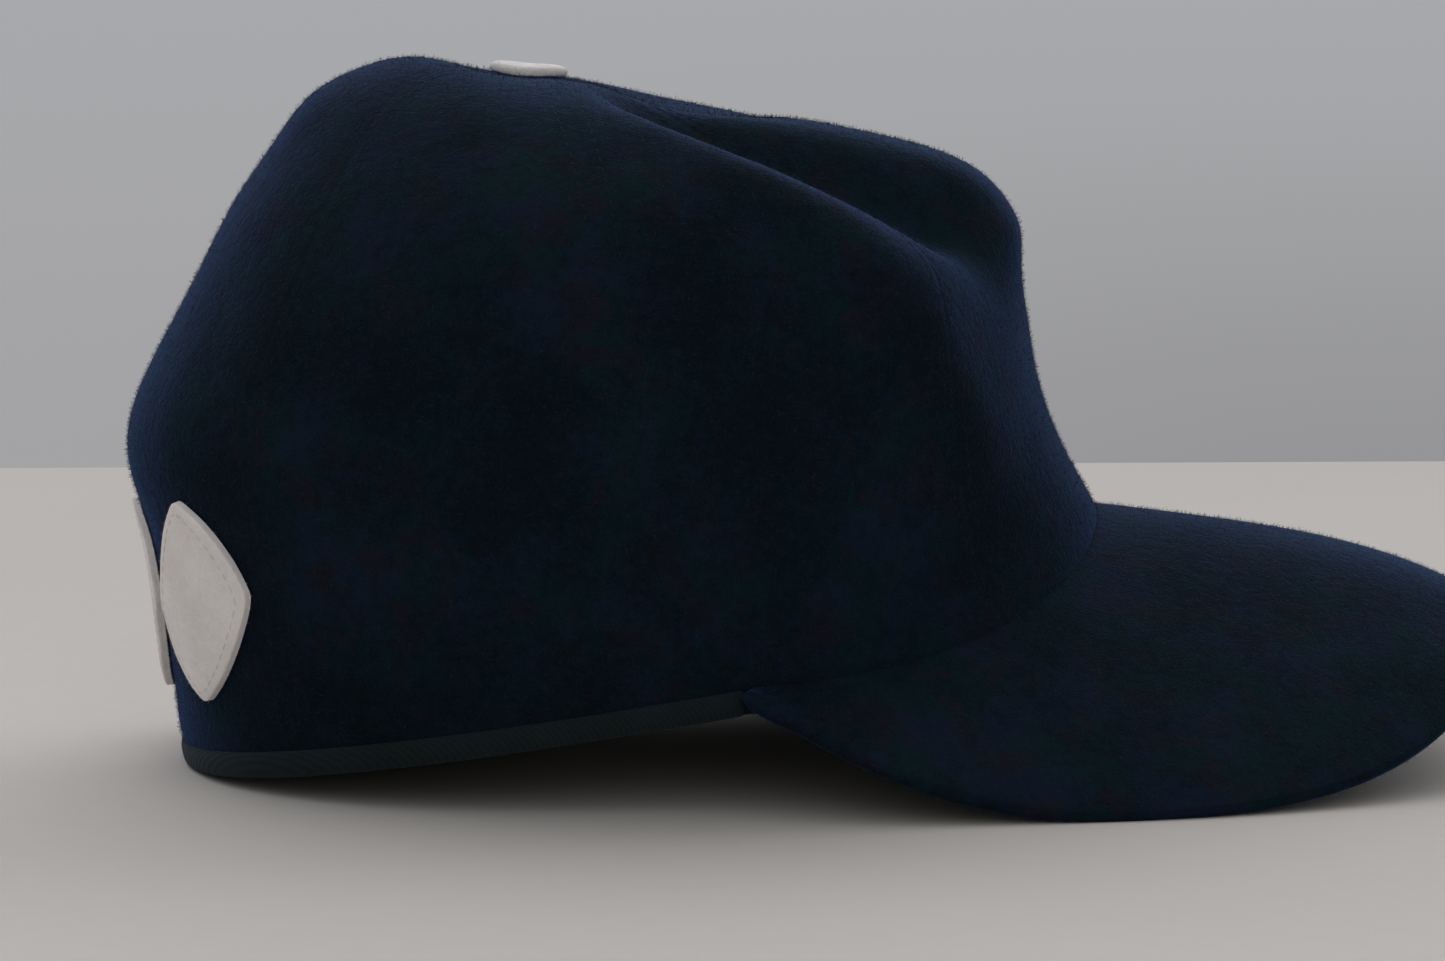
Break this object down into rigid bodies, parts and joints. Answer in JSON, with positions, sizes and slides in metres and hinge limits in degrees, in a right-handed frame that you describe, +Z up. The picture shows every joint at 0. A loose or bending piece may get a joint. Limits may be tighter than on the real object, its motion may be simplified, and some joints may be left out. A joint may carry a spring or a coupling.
{
  "type": "fitted baseball cap",
  "caption": "Soft wool fitted cap with a rounded panelled crown, covered top button, inner sweatband, arched peak and felt lozenges at the back.",
  "frame": {"origin": "on the surface the cap rests on, under the middle of the bounding box", "axes": "+X is where the peak points, +Y is the wearer's left, +Z is up"},
  "size_m": [0.2844, 0.1924, 0.1455],
  "materials": {
    "crown_wool": "dark navy wool flannel with a soft nap",
    "peak_wool": "dark navy wool flannel over a flexible board",
    "band_cloth": "dark grey woven sweatband cloth",
    "button_felt": "cream cloth over a button",
    "lozenge_felt": "cream wool felt"
  },
  "bodies": {
    "root": {"crown_panel_left_1": "crown_wool", "crown_panel_left_2": "crown_wool", "crown_panel_left_3": "crown_wool", "crown_panel_left_4": "crown_wool", "crown_panel_right_1": "crown_wool", "crown_panel_right_2": "crown_wool", "crown_panel_right_3": "crown_wool", "crown_panel_right_4": "crown_wool", "peak": "peak_wool", "sweatband": "band_cloth", "top_button": "button_felt", "felt_lozenge_left": "lozenge_felt", "felt_lozenge_middle": "lozenge_felt", "felt_lozenge_right": "lozenge_felt"}
  },
  "joints": []
}
